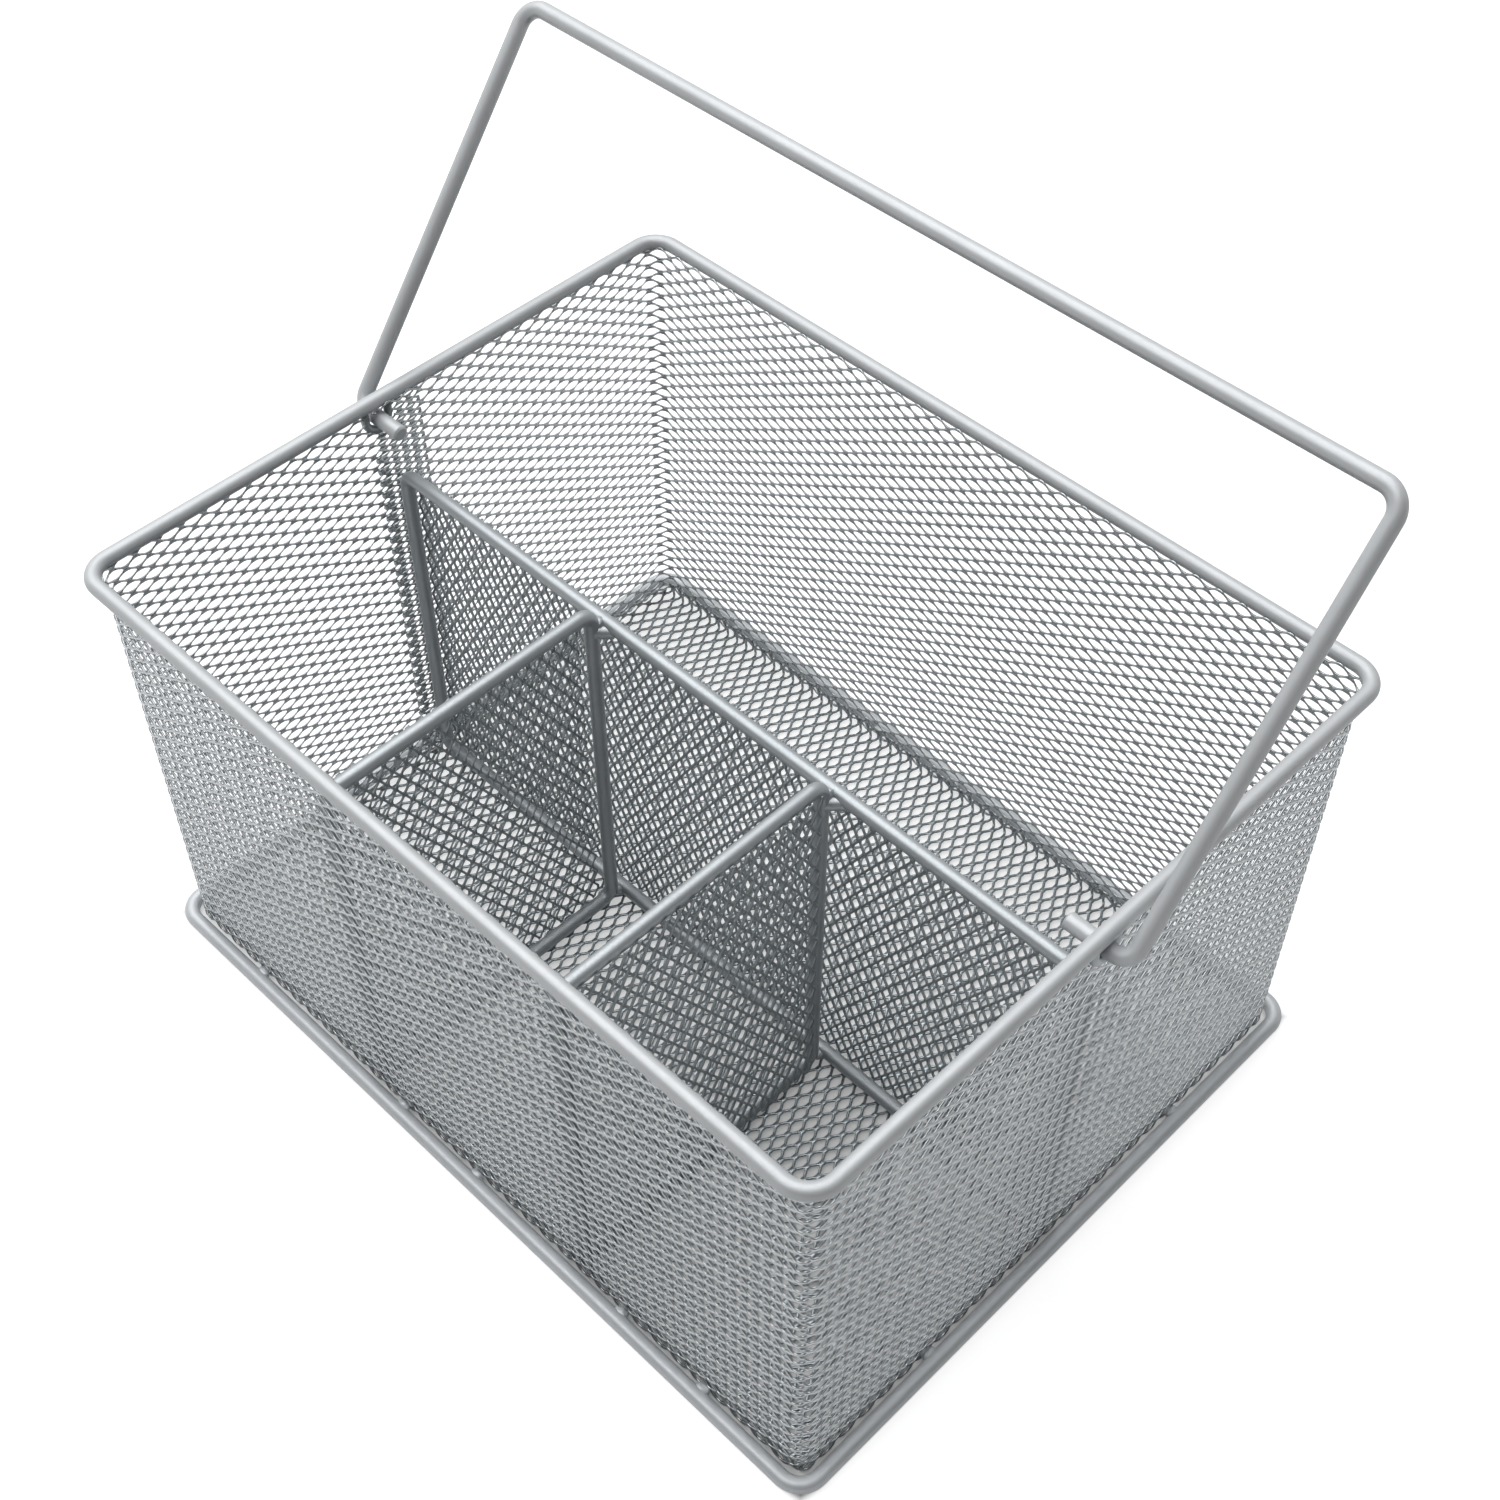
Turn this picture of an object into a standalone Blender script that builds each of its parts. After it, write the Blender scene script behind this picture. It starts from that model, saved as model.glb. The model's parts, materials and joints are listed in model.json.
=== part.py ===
"""A wire-framed caddy of expanded metal mesh with three dividers and a swinging bail handle.

Metres, +Z up. X runs along the long side and Y from front to back. The origin is under the middle of
the body, on the surface that the base ring stands on.
"""

import math

import bmesh
import bpy
from mathutils import Vector
from mathutils.geometry import delaunay_2d_cdt

# Clearance between pieces that touch
seat_gap = 0.0003

# Top rim: centre line of its wire
rim_length = 0.260
rim_width = 0.205
rim_height = 0.146
rim_wire = 0.0045
rim_corner = 0.0077

# Base ring: it stands a little outside the rim and is held by weld spots
ring_wire = 0.0046
ring_spread_x = 0.0016
ring_spread_y = 0.0006
ring_corner = 0.0068
weld_diameter = 0.0026
weld_rise = 0.0008
weld_long_shares = (-0.62, 0.0, 0.62)
weld_short_shares = (-0.5, 0.5)

# Expanded metal: one modelled gap stands for a block of real cells, with the real cell's proportions
sheet_thickness = 0.0005
strand_lean = 0.0002
strand_width = 0.0026
cell_long = 0.0074
cell_short = 0.00444
cells_per_gap = 6
least_gap_share = 0.12

# Solid bands that edge each panel
top_band = 0.0012
edge_band = 0.0016
end_band = 0.0012

# Walls: they stand under the rim, a little inside its centre line, and lap at a seam on the left side
wall_inset_x = 0.0020
wall_inset_y = 0.0030
wall_bend = 0.0047
wall_foot = 0.0036
seam_front_y = -0.0090
seam_back_y = 0.0088

# Floor sheet and its turned-up edge
floor_height = 0.0012
lip_height = 0.0050

# Dividers: the short ones stand higher than the long one, and a tab from each lies under its top wire
divider_wire = 0.0042
divider_height = 0.1208
divider_corner = 0.0050
long_divider_y = -0.0030
short_divider_rise = 0.0060
short_divider_left_x = -0.0410
short_divider_right_x = 0.0440
tab_wire = 0.0040
tab_length = 0.0062
tab_degrees = 45.0

# Pivot eyes under the rim
eye_wire = 0.0025
eye_clearance = 0.00045
pivot_headroom = 0.00095
pivot_y = -0.0060

# Carry handle
handle_wire = 0.0046
leg_clearance = 0.00255
leg_length = 0.1188
handle_bend = 0.0060
pivot_bend = 0.0046
stub_reach = 0.0090
notch_clearance = 0.0004
handle_tilt_degrees = 37.7

# Facets
arc_steps = 4
stout_sides = 12
slim_sides = 8

# Values worked out from the sizes above
half_sheet = sheet_thickness / 2 + strand_lean
wall_x = rim_length / 2 - wall_inset_x
wall_y = rim_width / 2 - wall_inset_y
bend_arc = wall_bend * math.pi / 2
flat_x = wall_x - wall_bend
flat_y = wall_y - wall_bend
wall_top = rim_height - rim_wire / 2 - seat_gap
wall_rise = wall_top - wall_foot
seam_run = flat_y - seam_back_y
lap_shift = half_sheet + seat_gap / 2
lean_in = lap_shift / seam_run
lean_out = lap_shift / (flat_y + seam_front_y)
seam_depth = lean_in * (flat_y - seam_front_y)
face_x = wall_x - half_sheet
face_left = face_x - seam_depth
face_y = wall_y - half_sheet
pivot_z = rim_height - rim_wire / 2 - handle_wire / 2 - pivot_headroom
eye_bend = handle_wire / 2 + eye_clearance + eye_wire / 2
divider_foot = floor_height + half_sheet + seat_gap + divider_wire / 2
net_offset = divider_wire / 2 + seat_gap + half_sheet
ring_x = rim_length / 2 + ring_spread_x
ring_y = rim_width / 2 + ring_spread_y

# Overrun of lines that must cross an outline, and the distance within which two points are one
overrun = 0.001
join_limit = 0.000001

up = Vector((0, 0, 1))


def clear_scene():
    for thing in list(bpy.data.objects):
        bpy.data.objects.remove(thing, do_unlink=True)


def paint(name, colour, roughness, metallic):
    """A painted metal finish."""
    material = bpy.data.materials.new(name)
    material.use_nodes = True
    shader = material.node_tree.nodes["Principled BSDF"]
    shader.inputs["Base Color"].default_value = (*colour, 1.0)
    shader.inputs["Roughness"].default_value = roughness
    shader.inputs["Metallic"].default_value = metallic
    return material


def add_object(name, mesh, material):
    thing = bpy.data.objects.new(name, mesh)
    mesh.materials.append(material)
    bpy.context.scene.collection.objects.link(thing)
    return thing


# Wires

def turned(vector, angle):
    """A flat vector (u, v) turned anticlockwise."""
    cos, sin = math.cos(angle), math.sin(angle)
    return Vector((vector.x * cos - vector.y * sin, vector.x * sin + vector.y * cos))


def filleted(corners, closed=False):
    """Stops (point, heading) along a flat path of (u, v, radius) corners, each rounded by its radius."""
    points = [Vector((u, v)) for u, v, radius in corners]
    radii = [radius for u, v, radius in corners]
    count = len(points)
    stops = []
    for index in range(count):
        here = points[index]
        into = here - points[index - 1]
        out = points[(index + 1) % count] - here
        if not closed and index == 0:
            into = out
        if not closed and index == count - 1:
            out = into
        into.normalize()
        out.normalize()
        turn = math.atan2(into.x * out.y - into.y * out.x, into.dot(out))
        radius = radii[index]
        if radius == 0 or turn == 0:
            stops.append((here, into))
            continue
        start = here - into * radius * math.tan(abs(turn) / 2)
        centre = start + turned(into, math.copysign(math.pi / 2, turn)) * radius
        for step in range(arc_steps + 1):
            angle = turn * step / arc_steps
            stops.append((centre + turned(start - centre, angle), turned(into, angle)))
    kept = []
    for point, heading in stops:
        if not kept or (point - kept[-1][0]).length > join_limit:
            kept.append((point, heading))
    return kept


def wire_mesh(name, stations, diameter, sides, closed):
    """A round wire through stations (point, tangent, normal), with flats facing along the normals."""
    reach = diameter / 2 / math.cos(math.pi / sides)
    bm = bmesh.new()
    rings = []
    for point, tangent, normal in stations:
        across = tangent.cross(normal)
        ring = []
        for side in range(sides):
            turn = (side + 0.5) * 2 * math.pi / sides
            spoke = normal * math.cos(turn) + across * math.sin(turn)
            ring.append(bm.verts.new(point + spoke * reach))
        rings.append(ring)
    following = rings[1:] + rings[:1] if closed else rings[1:]
    for near, far in zip(rings, following):
        for side in range(sides):
            after = (side + 1) % sides
            bm.faces.new((near[side], near[after], far[after], far[side]))
    if not closed:
        bm.faces.new(rings[0])
        bm.faces.new(rings[-1])
    bmesh.ops.recalc_face_normals(bm, faces=bm.faces)
    mesh = bpy.data.meshes.new(name)
    bm.to_mesh(mesh)
    bm.free()
    mesh.shade_smooth()
    mesh.set_sharp_from_angle(angle=math.radians(50))
    return mesh


def join(thing, addition):
    """Make another object's solid part of this one, and keep that object as a helper only."""
    addition.hide_render = True
    addition.display_type = "WIRE"
    union = thing.modifiers.new(addition.name, "BOOLEAN")
    union.operation = "UNION"
    union.solver = "EXACT"
    union.object = addition


def level_loop(name, half_x, half_y, height, corner, diameter):
    """A closed wire rectangle lying level."""
    corners = (
        (half_x, -half_y, corner),
        (half_x, half_y, corner),
        (-half_x, half_y, corner),
        (-half_x, -half_y, corner),
    )
    stations = []
    for point, heading in filleted(corners, closed=True):
        place = Vector((point.x, point.y, height))
        stations.append((place, Vector((heading.x, heading.y, 0)), up))
    return wire_mesh(name, stations, diameter, stout_sides, True)


def make_rim(material):
    mesh = level_loop("top_rim", rim_length / 2, rim_width / 2, rim_height, rim_corner, rim_wire)
    add_object("top_rim", mesh, material)


def add_weld(bm, ring_point, inward, wall_face):
    """One weld spot from inside the ring's wire to the foot of the wall."""
    start = ring_point + up * weld_rise
    length = ring_point.dot(-inward) - wall_face - seat_gap
    made = bmesh.ops.create_cone(
        bm, cap_ends=True, segments=slim_sides,
        radius1=weld_diameter / 2, radius2=weld_diameter / 2, depth=length,
    )
    turn = up.rotation_difference(inward).to_matrix().to_4x4()
    bmesh.ops.transform(bm, matrix=turn, verts=made["verts"])
    bmesh.ops.translate(bm, vec=start + inward * length / 2, verts=made["verts"])


def make_base_ring(material):
    mesh = level_loop("base_ring", ring_x, ring_y, ring_wire / 2, ring_corner, ring_wire)
    ring = add_object("base_ring", mesh, material)
    bm = bmesh.new()
    middle = up * ring_wire / 2
    for sign in (-1, 1):
        for share in weld_long_shares:
            point = Vector((share * ring_x, sign * ring_y, 0)) + middle
            add_weld(bm, point, Vector((0, -sign, 0)), wall_y + half_sheet)
        for share in weld_short_shares:
            point = Vector((sign * ring_x, share * ring_y, 0)) + middle
            add_weld(bm, point, Vector((-sign, 0, 0)), wall_x + half_sheet)
    mesh = bpy.data.meshes.new("weld_spots")
    bm.to_mesh(mesh)
    bm.free()
    join(ring, add_object("weld_spots", mesh, material))


# Expanded metal

def steps_between(start, end, pitch):
    """How many half pitches fit between two gap centres, and the length of each."""
    count = max(2, round((end - start) / (pitch / 2)))
    return count, (end - start) / count


def lattice(span_a, span_b, parity=0):
    """Gap centres over two spans: a runs the long way of the gaps and b the short way."""
    count_a, step_a = steps_between(*span_a, cell_long * cells_per_gap)
    count_b, step_b = steps_between(*span_b, cell_short * cells_per_gap)
    centres = []
    for i in range(count_a + 1):
        for j in range(count_b + 1):
            if (i + j + parity) % 2 == 0:
                centres.append((span_a[0] + i * step_a, span_b[0] + j * step_b))
    return centres, step_a, step_b


def clipped(outline, axis, limit, keep_above):
    """The part of an outline on one side of a line, as a list of points."""
    def inside(point):
        return point[axis] >= limit if keep_above else point[axis] <= limit

    result = []
    for index, here in enumerate(outline):
        before = outline[index - 1]
        if inside(here) != inside(before):
            share = (limit - before[axis]) / (here[axis] - before[axis])
            result.append(before.lerp(here, share))
        if inside(here):
            result.append(here)
    return result


def area_of(outline):
    total = 0.0
    for index, here in enumerate(outline):
        before = outline[index - 1]
        total += before.x * here.y - before.y * here.x
    return abs(total) / 2


def gap_outlines(centres, step_a, step_b, window):
    """Diamond gaps, with strands of the named width between them, cut off at the window's sides."""
    slope = math.atan2(step_b, step_a)
    half_a = step_a - strand_width / 2 / math.sin(slope)
    half_b = step_b - strand_width / 2 / math.cos(slope)
    whole = 2 * half_a * half_b
    diamond = (Vector((-half_a, 0)), Vector((0, -half_b)), Vector((half_a, 0)), Vector((0, half_b)))
    low_a, high_a, low_b, high_b = window
    cuts = ((0, low_a, True), (0, high_a, False), (1, low_b, True), (1, high_b, False))
    outlines = []
    for a, b in centres:
        outline = [Vector((a, b)) + corner for corner in diamond]
        for axis, limit, keep_above in cuts:
            outline = clipped(outline, axis, limit, keep_above)
        if len(outline) > 2 and area_of(outline) > least_gap_share * whole:
            outlines.append((b, outline))
    return outlines


def notch_outline(middle, radius, top):
    """A notch with a round foot, from the point in its middle up past an edge."""
    outline = [Vector((middle.x - radius, top + overrun))]
    for step in range(2 * arc_steps + 1):
        outline.append(middle + turned(Vector((-radius, 0)), math.pi * step / arc_steps / 2))
    outline.append(Vector((middle.x + radius, top + overrun)))
    return outline


def net_object(name, size, bands, gaps, place, material, folds=(), notch=()):
    """A sheet of expanded metal: an outline from (0, 0) to size, with gaps cut out, laid by place(a, b).

    The two edges of each strand lean out of the sheet to opposite sides. Folds are lines (axis, distance)
    along which the sheet bends.
    """
    length_a, length_b = size
    window = (bands[0], length_a - bands[1], bands[2], length_b - bands[3])
    centres, step_a, step_b = gaps
    outlines = gap_outlines(centres, step_a, step_b, window)
    points = []
    leans = []
    faces = []

    def add_face(outline, outline_leans):
        faces.append(list(range(len(points), len(points) + len(outline))))
        points.extend(outline)
        leans.extend(outline_leans)

    sheet = (Vector((0, 0)), Vector((length_a, 0)), Vector((length_a, length_b)), Vector((0, length_b)))
    add_face(sheet, [0.0] * len(sheet))
    for middle, outline in outlines:
        outline_leans = []
        for point in outline:
            free = window[0] < point.x < window[1] and window[2] < point.y < window[3]
            outline_leans.append(strand_lean * (middle - point.y) / step_b if free else 0.0)
        add_face(outline, outline_leans)
    if notch:
        add_face(notch, [0.0] * len(notch))
    edges = []
    for axis, distance in folds:
        edges.append((len(points), len(points) + 1))
        for end in (-overrun, size[1 - axis] + overrun):
            points.append(Vector((distance, end)) if axis == 0 else Vector((end, distance)))
            leans.append(0.0)
    joined = delaunay_2d_cdt(points, edges, faces, 0, join_limit)
    flat, _, triangles, from_points, _, from_faces = joined
    kept = [corner for corner, owners in zip(triangles, from_faces) if list(owners) == [0]]
    used = sorted({corner for triangle in kept for corner in triangle})
    renamed = {old: new for new, old in enumerate(used)}
    verts = []
    for old in used:
        lean = leans[from_points[old][0]] if len(from_points[old]) else 0.0
        spot, normal = place(flat[old].x, flat[old].y)
        verts.append(spot + normal * lean)
    mesh = bpy.data.meshes.new(name)
    mesh.from_pydata(verts, [], [[renamed[corner] for corner in triangle] for triangle in kept])
    mesh.update()
    net = add_object(name, mesh, material)
    thicken = net.modifiers.new("sheet", "SOLIDIFY")
    thicken.thickness = sheet_thickness
    thicken.offset = 0
    thicken.use_even_offset = False
    return net


def flat_place(origin, along_a, along_b, normal):
    def place(a, b):
        return origin + along_a * a + along_b * b, normal
    return place


# Walls: one strip wrapped round the body, as flat panels and four narrow bends

def wall_sides():
    """Each side's name, start of its flat run, direction, outward normal and flat length."""
    return (
        ("front", Vector((-flat_x, -wall_y, 0)), Vector((1, 0, 0)), Vector((0, -1, 0)), 2 * flat_x),
        ("right", Vector((wall_x, -flat_y, 0)), Vector((0, 1, 0)), Vector((1, 0, 0)), 2 * flat_y),
        ("back", Vector((flat_x, wall_y, 0)), Vector((-1, 0, 0)), Vector((0, 1, 0)), 2 * flat_x),
        ("left", Vector((-wall_x, flat_y, 0)), Vector((0, -1, 0)), Vector((-1, 0, 0)), 2 * flat_y),
    )


def unshifted(run_here):
    return 0.0


def wall_panel(name, side, run, parity, material, shift=unshifted, pivot=False):
    """The flat stretch of one wall from run[0] to run[1], moved inwards by shift(distance along the wall)."""
    _, start, along, outward, length = side
    first, last = run
    gaps = lattice((-bend_arc / 2 - first, length + bend_arc / 2 - first), (0, wall_rise), parity)
    foot = start + up * wall_foot

    def place(a, b):
        run_here = first + a
        return foot + along * run_here + up * b - outward * shift(run_here), outward

    notch = ()
    if pivot:
        from_start = (Vector((0, pivot_y, 0)) - start).dot(along) - first
        radius = eye_bend + eye_wire / 2 + notch_clearance
        notch = notch_outline(Vector((from_start, pivot_z - wall_foot)), radius, wall_rise)
    bands = (end_band, end_band, edge_band, top_band)
    net_object(name, (last - first, wall_rise), bands, gaps, place, material, notch=notch)


def gap_columns(length):
    """How many half pitches of gaps a wall holds, counted between the middles of its bends."""
    return steps_between(-bend_arc / 2, length + bend_arc / 2, cell_long * cells_per_gap)


def wall_corner(name, side, after, parity, material):
    """The narrow bend between one wall and the next, with a column of gaps down its middle."""
    _, start, along, outward, length = side
    _, _, _, next_outward, _ = after
    centre = start + along * length - outward * wall_bend + up * wall_foot
    _, step_a = gap_columns(length)
    count_b, step_b = steps_between(0, wall_rise, cell_short * cells_per_gap)
    centres = [(bend_arc / 2, j * step_b) for j in range(count_b + 1) if (j + parity) % 2 == 0]

    def place(a, b):
        angle = a / wall_bend
        spoke = outward * math.cos(angle) + next_outward * math.sin(angle)
        return centre + spoke * wall_bend + up * b, spoke

    folds = [(0, bend_arc * step / arc_steps) for step in range(1, arc_steps)]
    bands = (end_band, end_band, edge_band, top_band)
    net_object(name, (bend_arc, wall_rise), bands, (centres, step_a, step_b), place, material, folds)


def make_walls(material):
    bend_names = {"front": "front_right", "right": "back_right", "back": "back_left", "left": "front_left"}
    sides = wall_sides()
    parity = 0
    for index, side in enumerate(sides):
        name, _, _, _, length = side
        after = sides[(index + 1) % len(sides)]
        if name == "left":
            def inward(run_here):
                return lean_in * run_here

            def outward(run_here):
                return -lean_out * (2 * flat_y - run_here)

            rear_run = (seat_gap, flat_y - seam_front_y)
            front_run = (seam_run, length - seat_gap)
            wall_panel("wall_left_rear", side, rear_run, parity, material, inward, pivot=True)
            wall_panel("wall_left_front", side, front_run, parity, material, outward, pivot=True)
        else:
            run = (seat_gap, length - seat_gap)
            wall_panel("wall_" + name, side, run, parity, material, pivot=name == "right")
        parity += gap_columns(length)[0]
        wall_corner("wall_bend_" + bend_names[name], side, after, parity, material)


# Floor

def make_floor(material):
    lip_room = seat_gap + sheet_thickness + seat_gap
    low_x, high_x = -face_left + lip_room, face_x - lip_room
    half_y = face_y - lip_room
    size = (2 * half_y, high_x - low_x)
    gaps = lattice((0, size[0]), (0, size[1]))
    place = flat_place(Vector((low_x, -half_y, floor_height)), Vector((0, 1, 0)), Vector((1, 0, 0)), up)
    net_object("floor_mesh", size, (edge_band,) * 4, gaps, place, material)
    make_floor_lips(material)


def make_floor_lips(material):
    """The four turned-up edges of the floor sheet, each with a row of gaps."""
    foot = floor_height - sheet_thickness / 2
    inset = seat_gap + sheet_thickness / 2
    lips = (
        ("front", Vector((-flat_x, inset - face_y, foot)), Vector((0, -1, 0)), 2 * flat_x),
        ("back", Vector((-flat_x, face_y - inset, foot)), Vector((0, 1, 0)), 2 * flat_x),
        ("left", Vector((inset - face_left, -flat_y, foot)), Vector((-1, 0, 0)), 2 * flat_y),
        ("right", Vector((face_x - inset, -flat_y, foot)), Vector((1, 0, 0)), 2 * flat_y),
    )
    step_b = cell_short * cells_per_gap / 2
    bands = (end_band,) * 4
    for name, origin, outward, length in lips:
        along = Vector((abs(outward.y), abs(outward.x), 0))
        count, step_a = steps_between(0, length, cell_long * cells_per_gap)
        centres = [(i * step_a, lip_height / 2) for i in range(1, count + 1, 2)]
        place = flat_place(origin, along, up, outward)
        gaps = (centres, step_a, step_b)
        net_object("floor_lip_" + name, (length, lip_height), bands, gaps, place, material)


# Dividers

def make_long_divider(wire_material, net_material):
    low_x = -face_left + seat_gap + divider_wire / 2
    high_x = face_x - seat_gap - divider_wire / 2
    corners = (
        (high_x, divider_foot, divider_corner),
        (high_x, divider_height, divider_corner),
        (low_x, divider_height, divider_corner),
        (low_x, divider_foot, divider_corner),
    )
    back = Vector((0, 1, 0))
    stations = []
    for point, heading in filleted(corners, closed=True):
        place = Vector((point.x, long_divider_y, point.y))
        stations.append((place, Vector((heading.x, 0, heading.y)), back))
    mesh = wire_mesh("long_divider_frame", stations, divider_wire, slim_sides, True)
    add_object("long_divider_frame", mesh, wire_material)
    size = (divider_height - divider_foot, high_x - low_x)
    gaps = lattice((0, size[0]), (0, size[1]))
    origin = Vector((low_x, long_divider_y + net_offset, divider_foot))
    place = flat_place(origin, up, Vector((1, 0, 0)), back)
    net_object("long_divider_mesh", size, (edge_band,) * 4, gaps, place, net_material)


def make_short_divider(name, x, net_side, wire_material, net_material):
    """A flat loop from the front wall to the long divider, with a tab, and its mesh on one side."""
    front_y = -face_y + seat_gap + divider_wire / 2
    back_y = long_divider_y - divider_wire - seat_gap
    top = divider_height + short_divider_rise
    corners = (
        (back_y, divider_foot, divider_corner),
        (back_y, top, divider_corner),
        (front_y, top, divider_corner),
        (front_y, divider_foot, divider_corner),
    )
    across = Vector((1, 0, 0))
    stations = []
    for point, heading in filleted(corners, closed=True):
        stations.append((Vector((x, point.x, point.y)), Vector((0, heading.x, heading.y)), across))
    mesh = wire_mesh(name + "_frame", stations, divider_wire, slim_sides, True)
    frame = add_object(name + "_frame", mesh, wire_material)

    slant = math.radians(tab_degrees)
    heading = Vector((math.sin(slant), math.cos(slant), 0))
    start = Vector((x, back_y, divider_height - divider_wire / 2 - seat_gap - tab_wire / 2))
    stations = ((start, heading, up), (start + heading * tab_length, heading, up))
    tab = wire_mesh(name + "_tab", stations, tab_wire, slim_sides, False)
    join(frame, add_object(name + "_tab", tab, wire_material))

    size = (top - divider_foot, back_y - divider_wire / 2 - front_y)
    gaps = lattice((0, size[0]), (0, size[1]))
    origin = Vector((x + net_side * net_offset, front_y, divider_foot))
    place = flat_place(origin, up, Vector((0, 1, 0)), across * net_side)
    net_object(name + "_mesh", size, (edge_band,) * 4, gaps, place, net_material)


# Handle and its eyes

def make_eye(name, x, material):
    """A U of thin wire hung from the rim, round the handle's end."""
    arm = rim_height - rim_wire / 2 - seat_gap - pivot_z
    corners = (
        (-eye_bend, arm, 0),
        (-eye_bend, -eye_bend, eye_bend),
        (eye_bend, -eye_bend, eye_bend),
        (eye_bend, arm, 0),
    )
    stations = []
    for point, heading in filleted(corners):
        place = Vector((x, pivot_y + point.x, pivot_z + point.y))
        stations.append((place, Vector((0, heading.x, heading.y)), Vector((1, 0, 0))))
    mesh = wire_mesh(name, stations, eye_wire, slim_sides, False)
    add_object(name, mesh, material)


def make_handle(material):
    """The bail, modelled upright about its pivot axis and then tilted back."""
    half_span = rim_length / 2 + rim_wire / 2 + leg_clearance + handle_wire / 2
    stub = wall_x - stub_reach
    corners = (
        (-stub, 0, 0),
        (-half_span, 0, pivot_bend),
        (-half_span, leg_length, handle_bend),
        (half_span, leg_length, handle_bend),
        (half_span, 0, pivot_bend),
        (stub, 0, 0),
    )
    forward = Vector((0, 1, 0))
    stations = []
    for point, heading in filleted(corners):
        stations.append((Vector((point.x, 0, point.y)), Vector((heading.x, 0, heading.y)), forward))
    mesh = wire_mesh("carry_handle", stations, handle_wire, stout_sides, False)
    handle = add_object("carry_handle", mesh, material)
    handle.location = (0, pivot_y, pivot_z)
    handle.rotation_euler.x = -math.radians(handle_tilt_degrees)


clear_scene()
rim_paint = paint("rim_paint", (0.58, 0.60, 0.62), 0.42, 0.55)
ring_paint = paint("ring_paint", (0.55, 0.57, 0.59), 0.45, 0.55)
wall_paint = paint("wall_mesh_paint", (0.46, 0.48, 0.50), 0.5, 0.5)
floor_paint = paint("floor_mesh_paint", (0.44, 0.46, 0.48), 0.5, 0.5)
divider_paint = paint("divider_paint", (0.52, 0.54, 0.56), 0.45, 0.55)
divider_net_paint = paint("divider_mesh_paint", (0.42, 0.44, 0.46), 0.5, 0.5)
handle_paint = paint("handle_paint", (0.60, 0.62, 0.64), 0.4, 0.55)
eye_paint = paint("eye_paint", (0.50, 0.52, 0.54), 0.45, 0.55)

make_rim(rim_paint)
make_base_ring(ring_paint)
make_walls(wall_paint)
make_floor(floor_paint)
make_long_divider(divider_paint, divider_net_paint)
make_short_divider("short_divider_left", short_divider_left_x, -1, divider_paint, divider_net_paint)
make_short_divider("short_divider_right", short_divider_right_x, 1, divider_paint, divider_net_paint)
make_eye("left_pivot_eye", -rim_length / 2, eye_paint)
make_eye("right_pivot_eye", rim_length / 2, eye_paint)
make_handle(handle_paint)
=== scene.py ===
"""A silver caddy of wire and expanded metal, with three dividers and a bail handle, in a pale studio.

Metres, +Z up. X runs along the caddy's long side and Y from its front to its back, as in the frame.
"""

import json
import math

import bmesh
import bpy
import numpy as np
from mathutils import Matrix, Vector, noise


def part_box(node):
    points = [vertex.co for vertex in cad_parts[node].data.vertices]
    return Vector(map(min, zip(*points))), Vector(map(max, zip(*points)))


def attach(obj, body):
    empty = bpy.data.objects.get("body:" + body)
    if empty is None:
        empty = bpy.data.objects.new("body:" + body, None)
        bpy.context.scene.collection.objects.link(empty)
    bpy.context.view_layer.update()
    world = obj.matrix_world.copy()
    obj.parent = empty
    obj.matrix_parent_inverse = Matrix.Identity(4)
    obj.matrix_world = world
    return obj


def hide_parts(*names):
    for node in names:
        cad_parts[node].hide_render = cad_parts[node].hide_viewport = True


# Camera, at the photograph's viewing angle
camera_lens_mm = 52.3
camera_sensor_mm = 36
camera_near = 0.05
camera_far = 20
camera_azimuth_degrees = 44.66
camera_elevation_degrees = 48.90
camera_roll_degrees = 0.07
camera_distance = 0.6366
camera_target = Vector((-0.0176, 0.0294, 0.0600))

# Paint
coat_scale = 60
coat_detail = 4
coat_darkest = 0.96
coat_lightest = 1.03
wire_grain = 1400
mesh_grain = 1800
grain_detail = 3
noise_low = 0.3
noise_high = 0.7
gloss_below = 0.05
gloss_above = 0.06
bump_strength = 0.1
bump_depth = 0.00005

# Expanded metal
cell_long = 0.0074
cell_short = 0.00444
sheet_thickness = 0.00048
lean_start = 0.3
wall_weave = {
    "strand_width": 0.00074,
    "bond_length": 0.0010,
    "tilt_degrees": -36,
    "bond_tilt_degrees": 4,
}
floor_weave = {
    "strand_width": 0.00088,
    "bond_length": 0.0015,
    "tilt_degrees": -28,
    "bond_tilt_degrees": 0,
}
divider_weave = {
    "strand_width": 0.00069,
    "bond_length": 0.0011,
    "tilt_degrees": 34,
    "bond_tilt_degrees": 10,
}
weld_overlap = 0.0014
rim_cling = 0.00045
pivot_hole = 0.0038
snag_size = Vector((0.0008, 0.0013, 0.0014))
snag_subdivisions = 2
fold_radius = 0.0012

# Wires
wire_sides = 28
wire_sharp_degrees = 40
arc_steps = 12
join_limit = 0.00001
end_chamfer = 0.0005
rim_corner = 0.0077
ring_corner = 0.0068
divider_corner = 0.0043
seat_gap = 0.0003
tab_wire = 0.0040
tab_length = 0.0064
tab_drop = 0.0014
handle_wire_extra = 0.0001
handle_bend = 0.0060
handle_end_reach = 0.1190
pivot_bend = 0.0046

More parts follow.
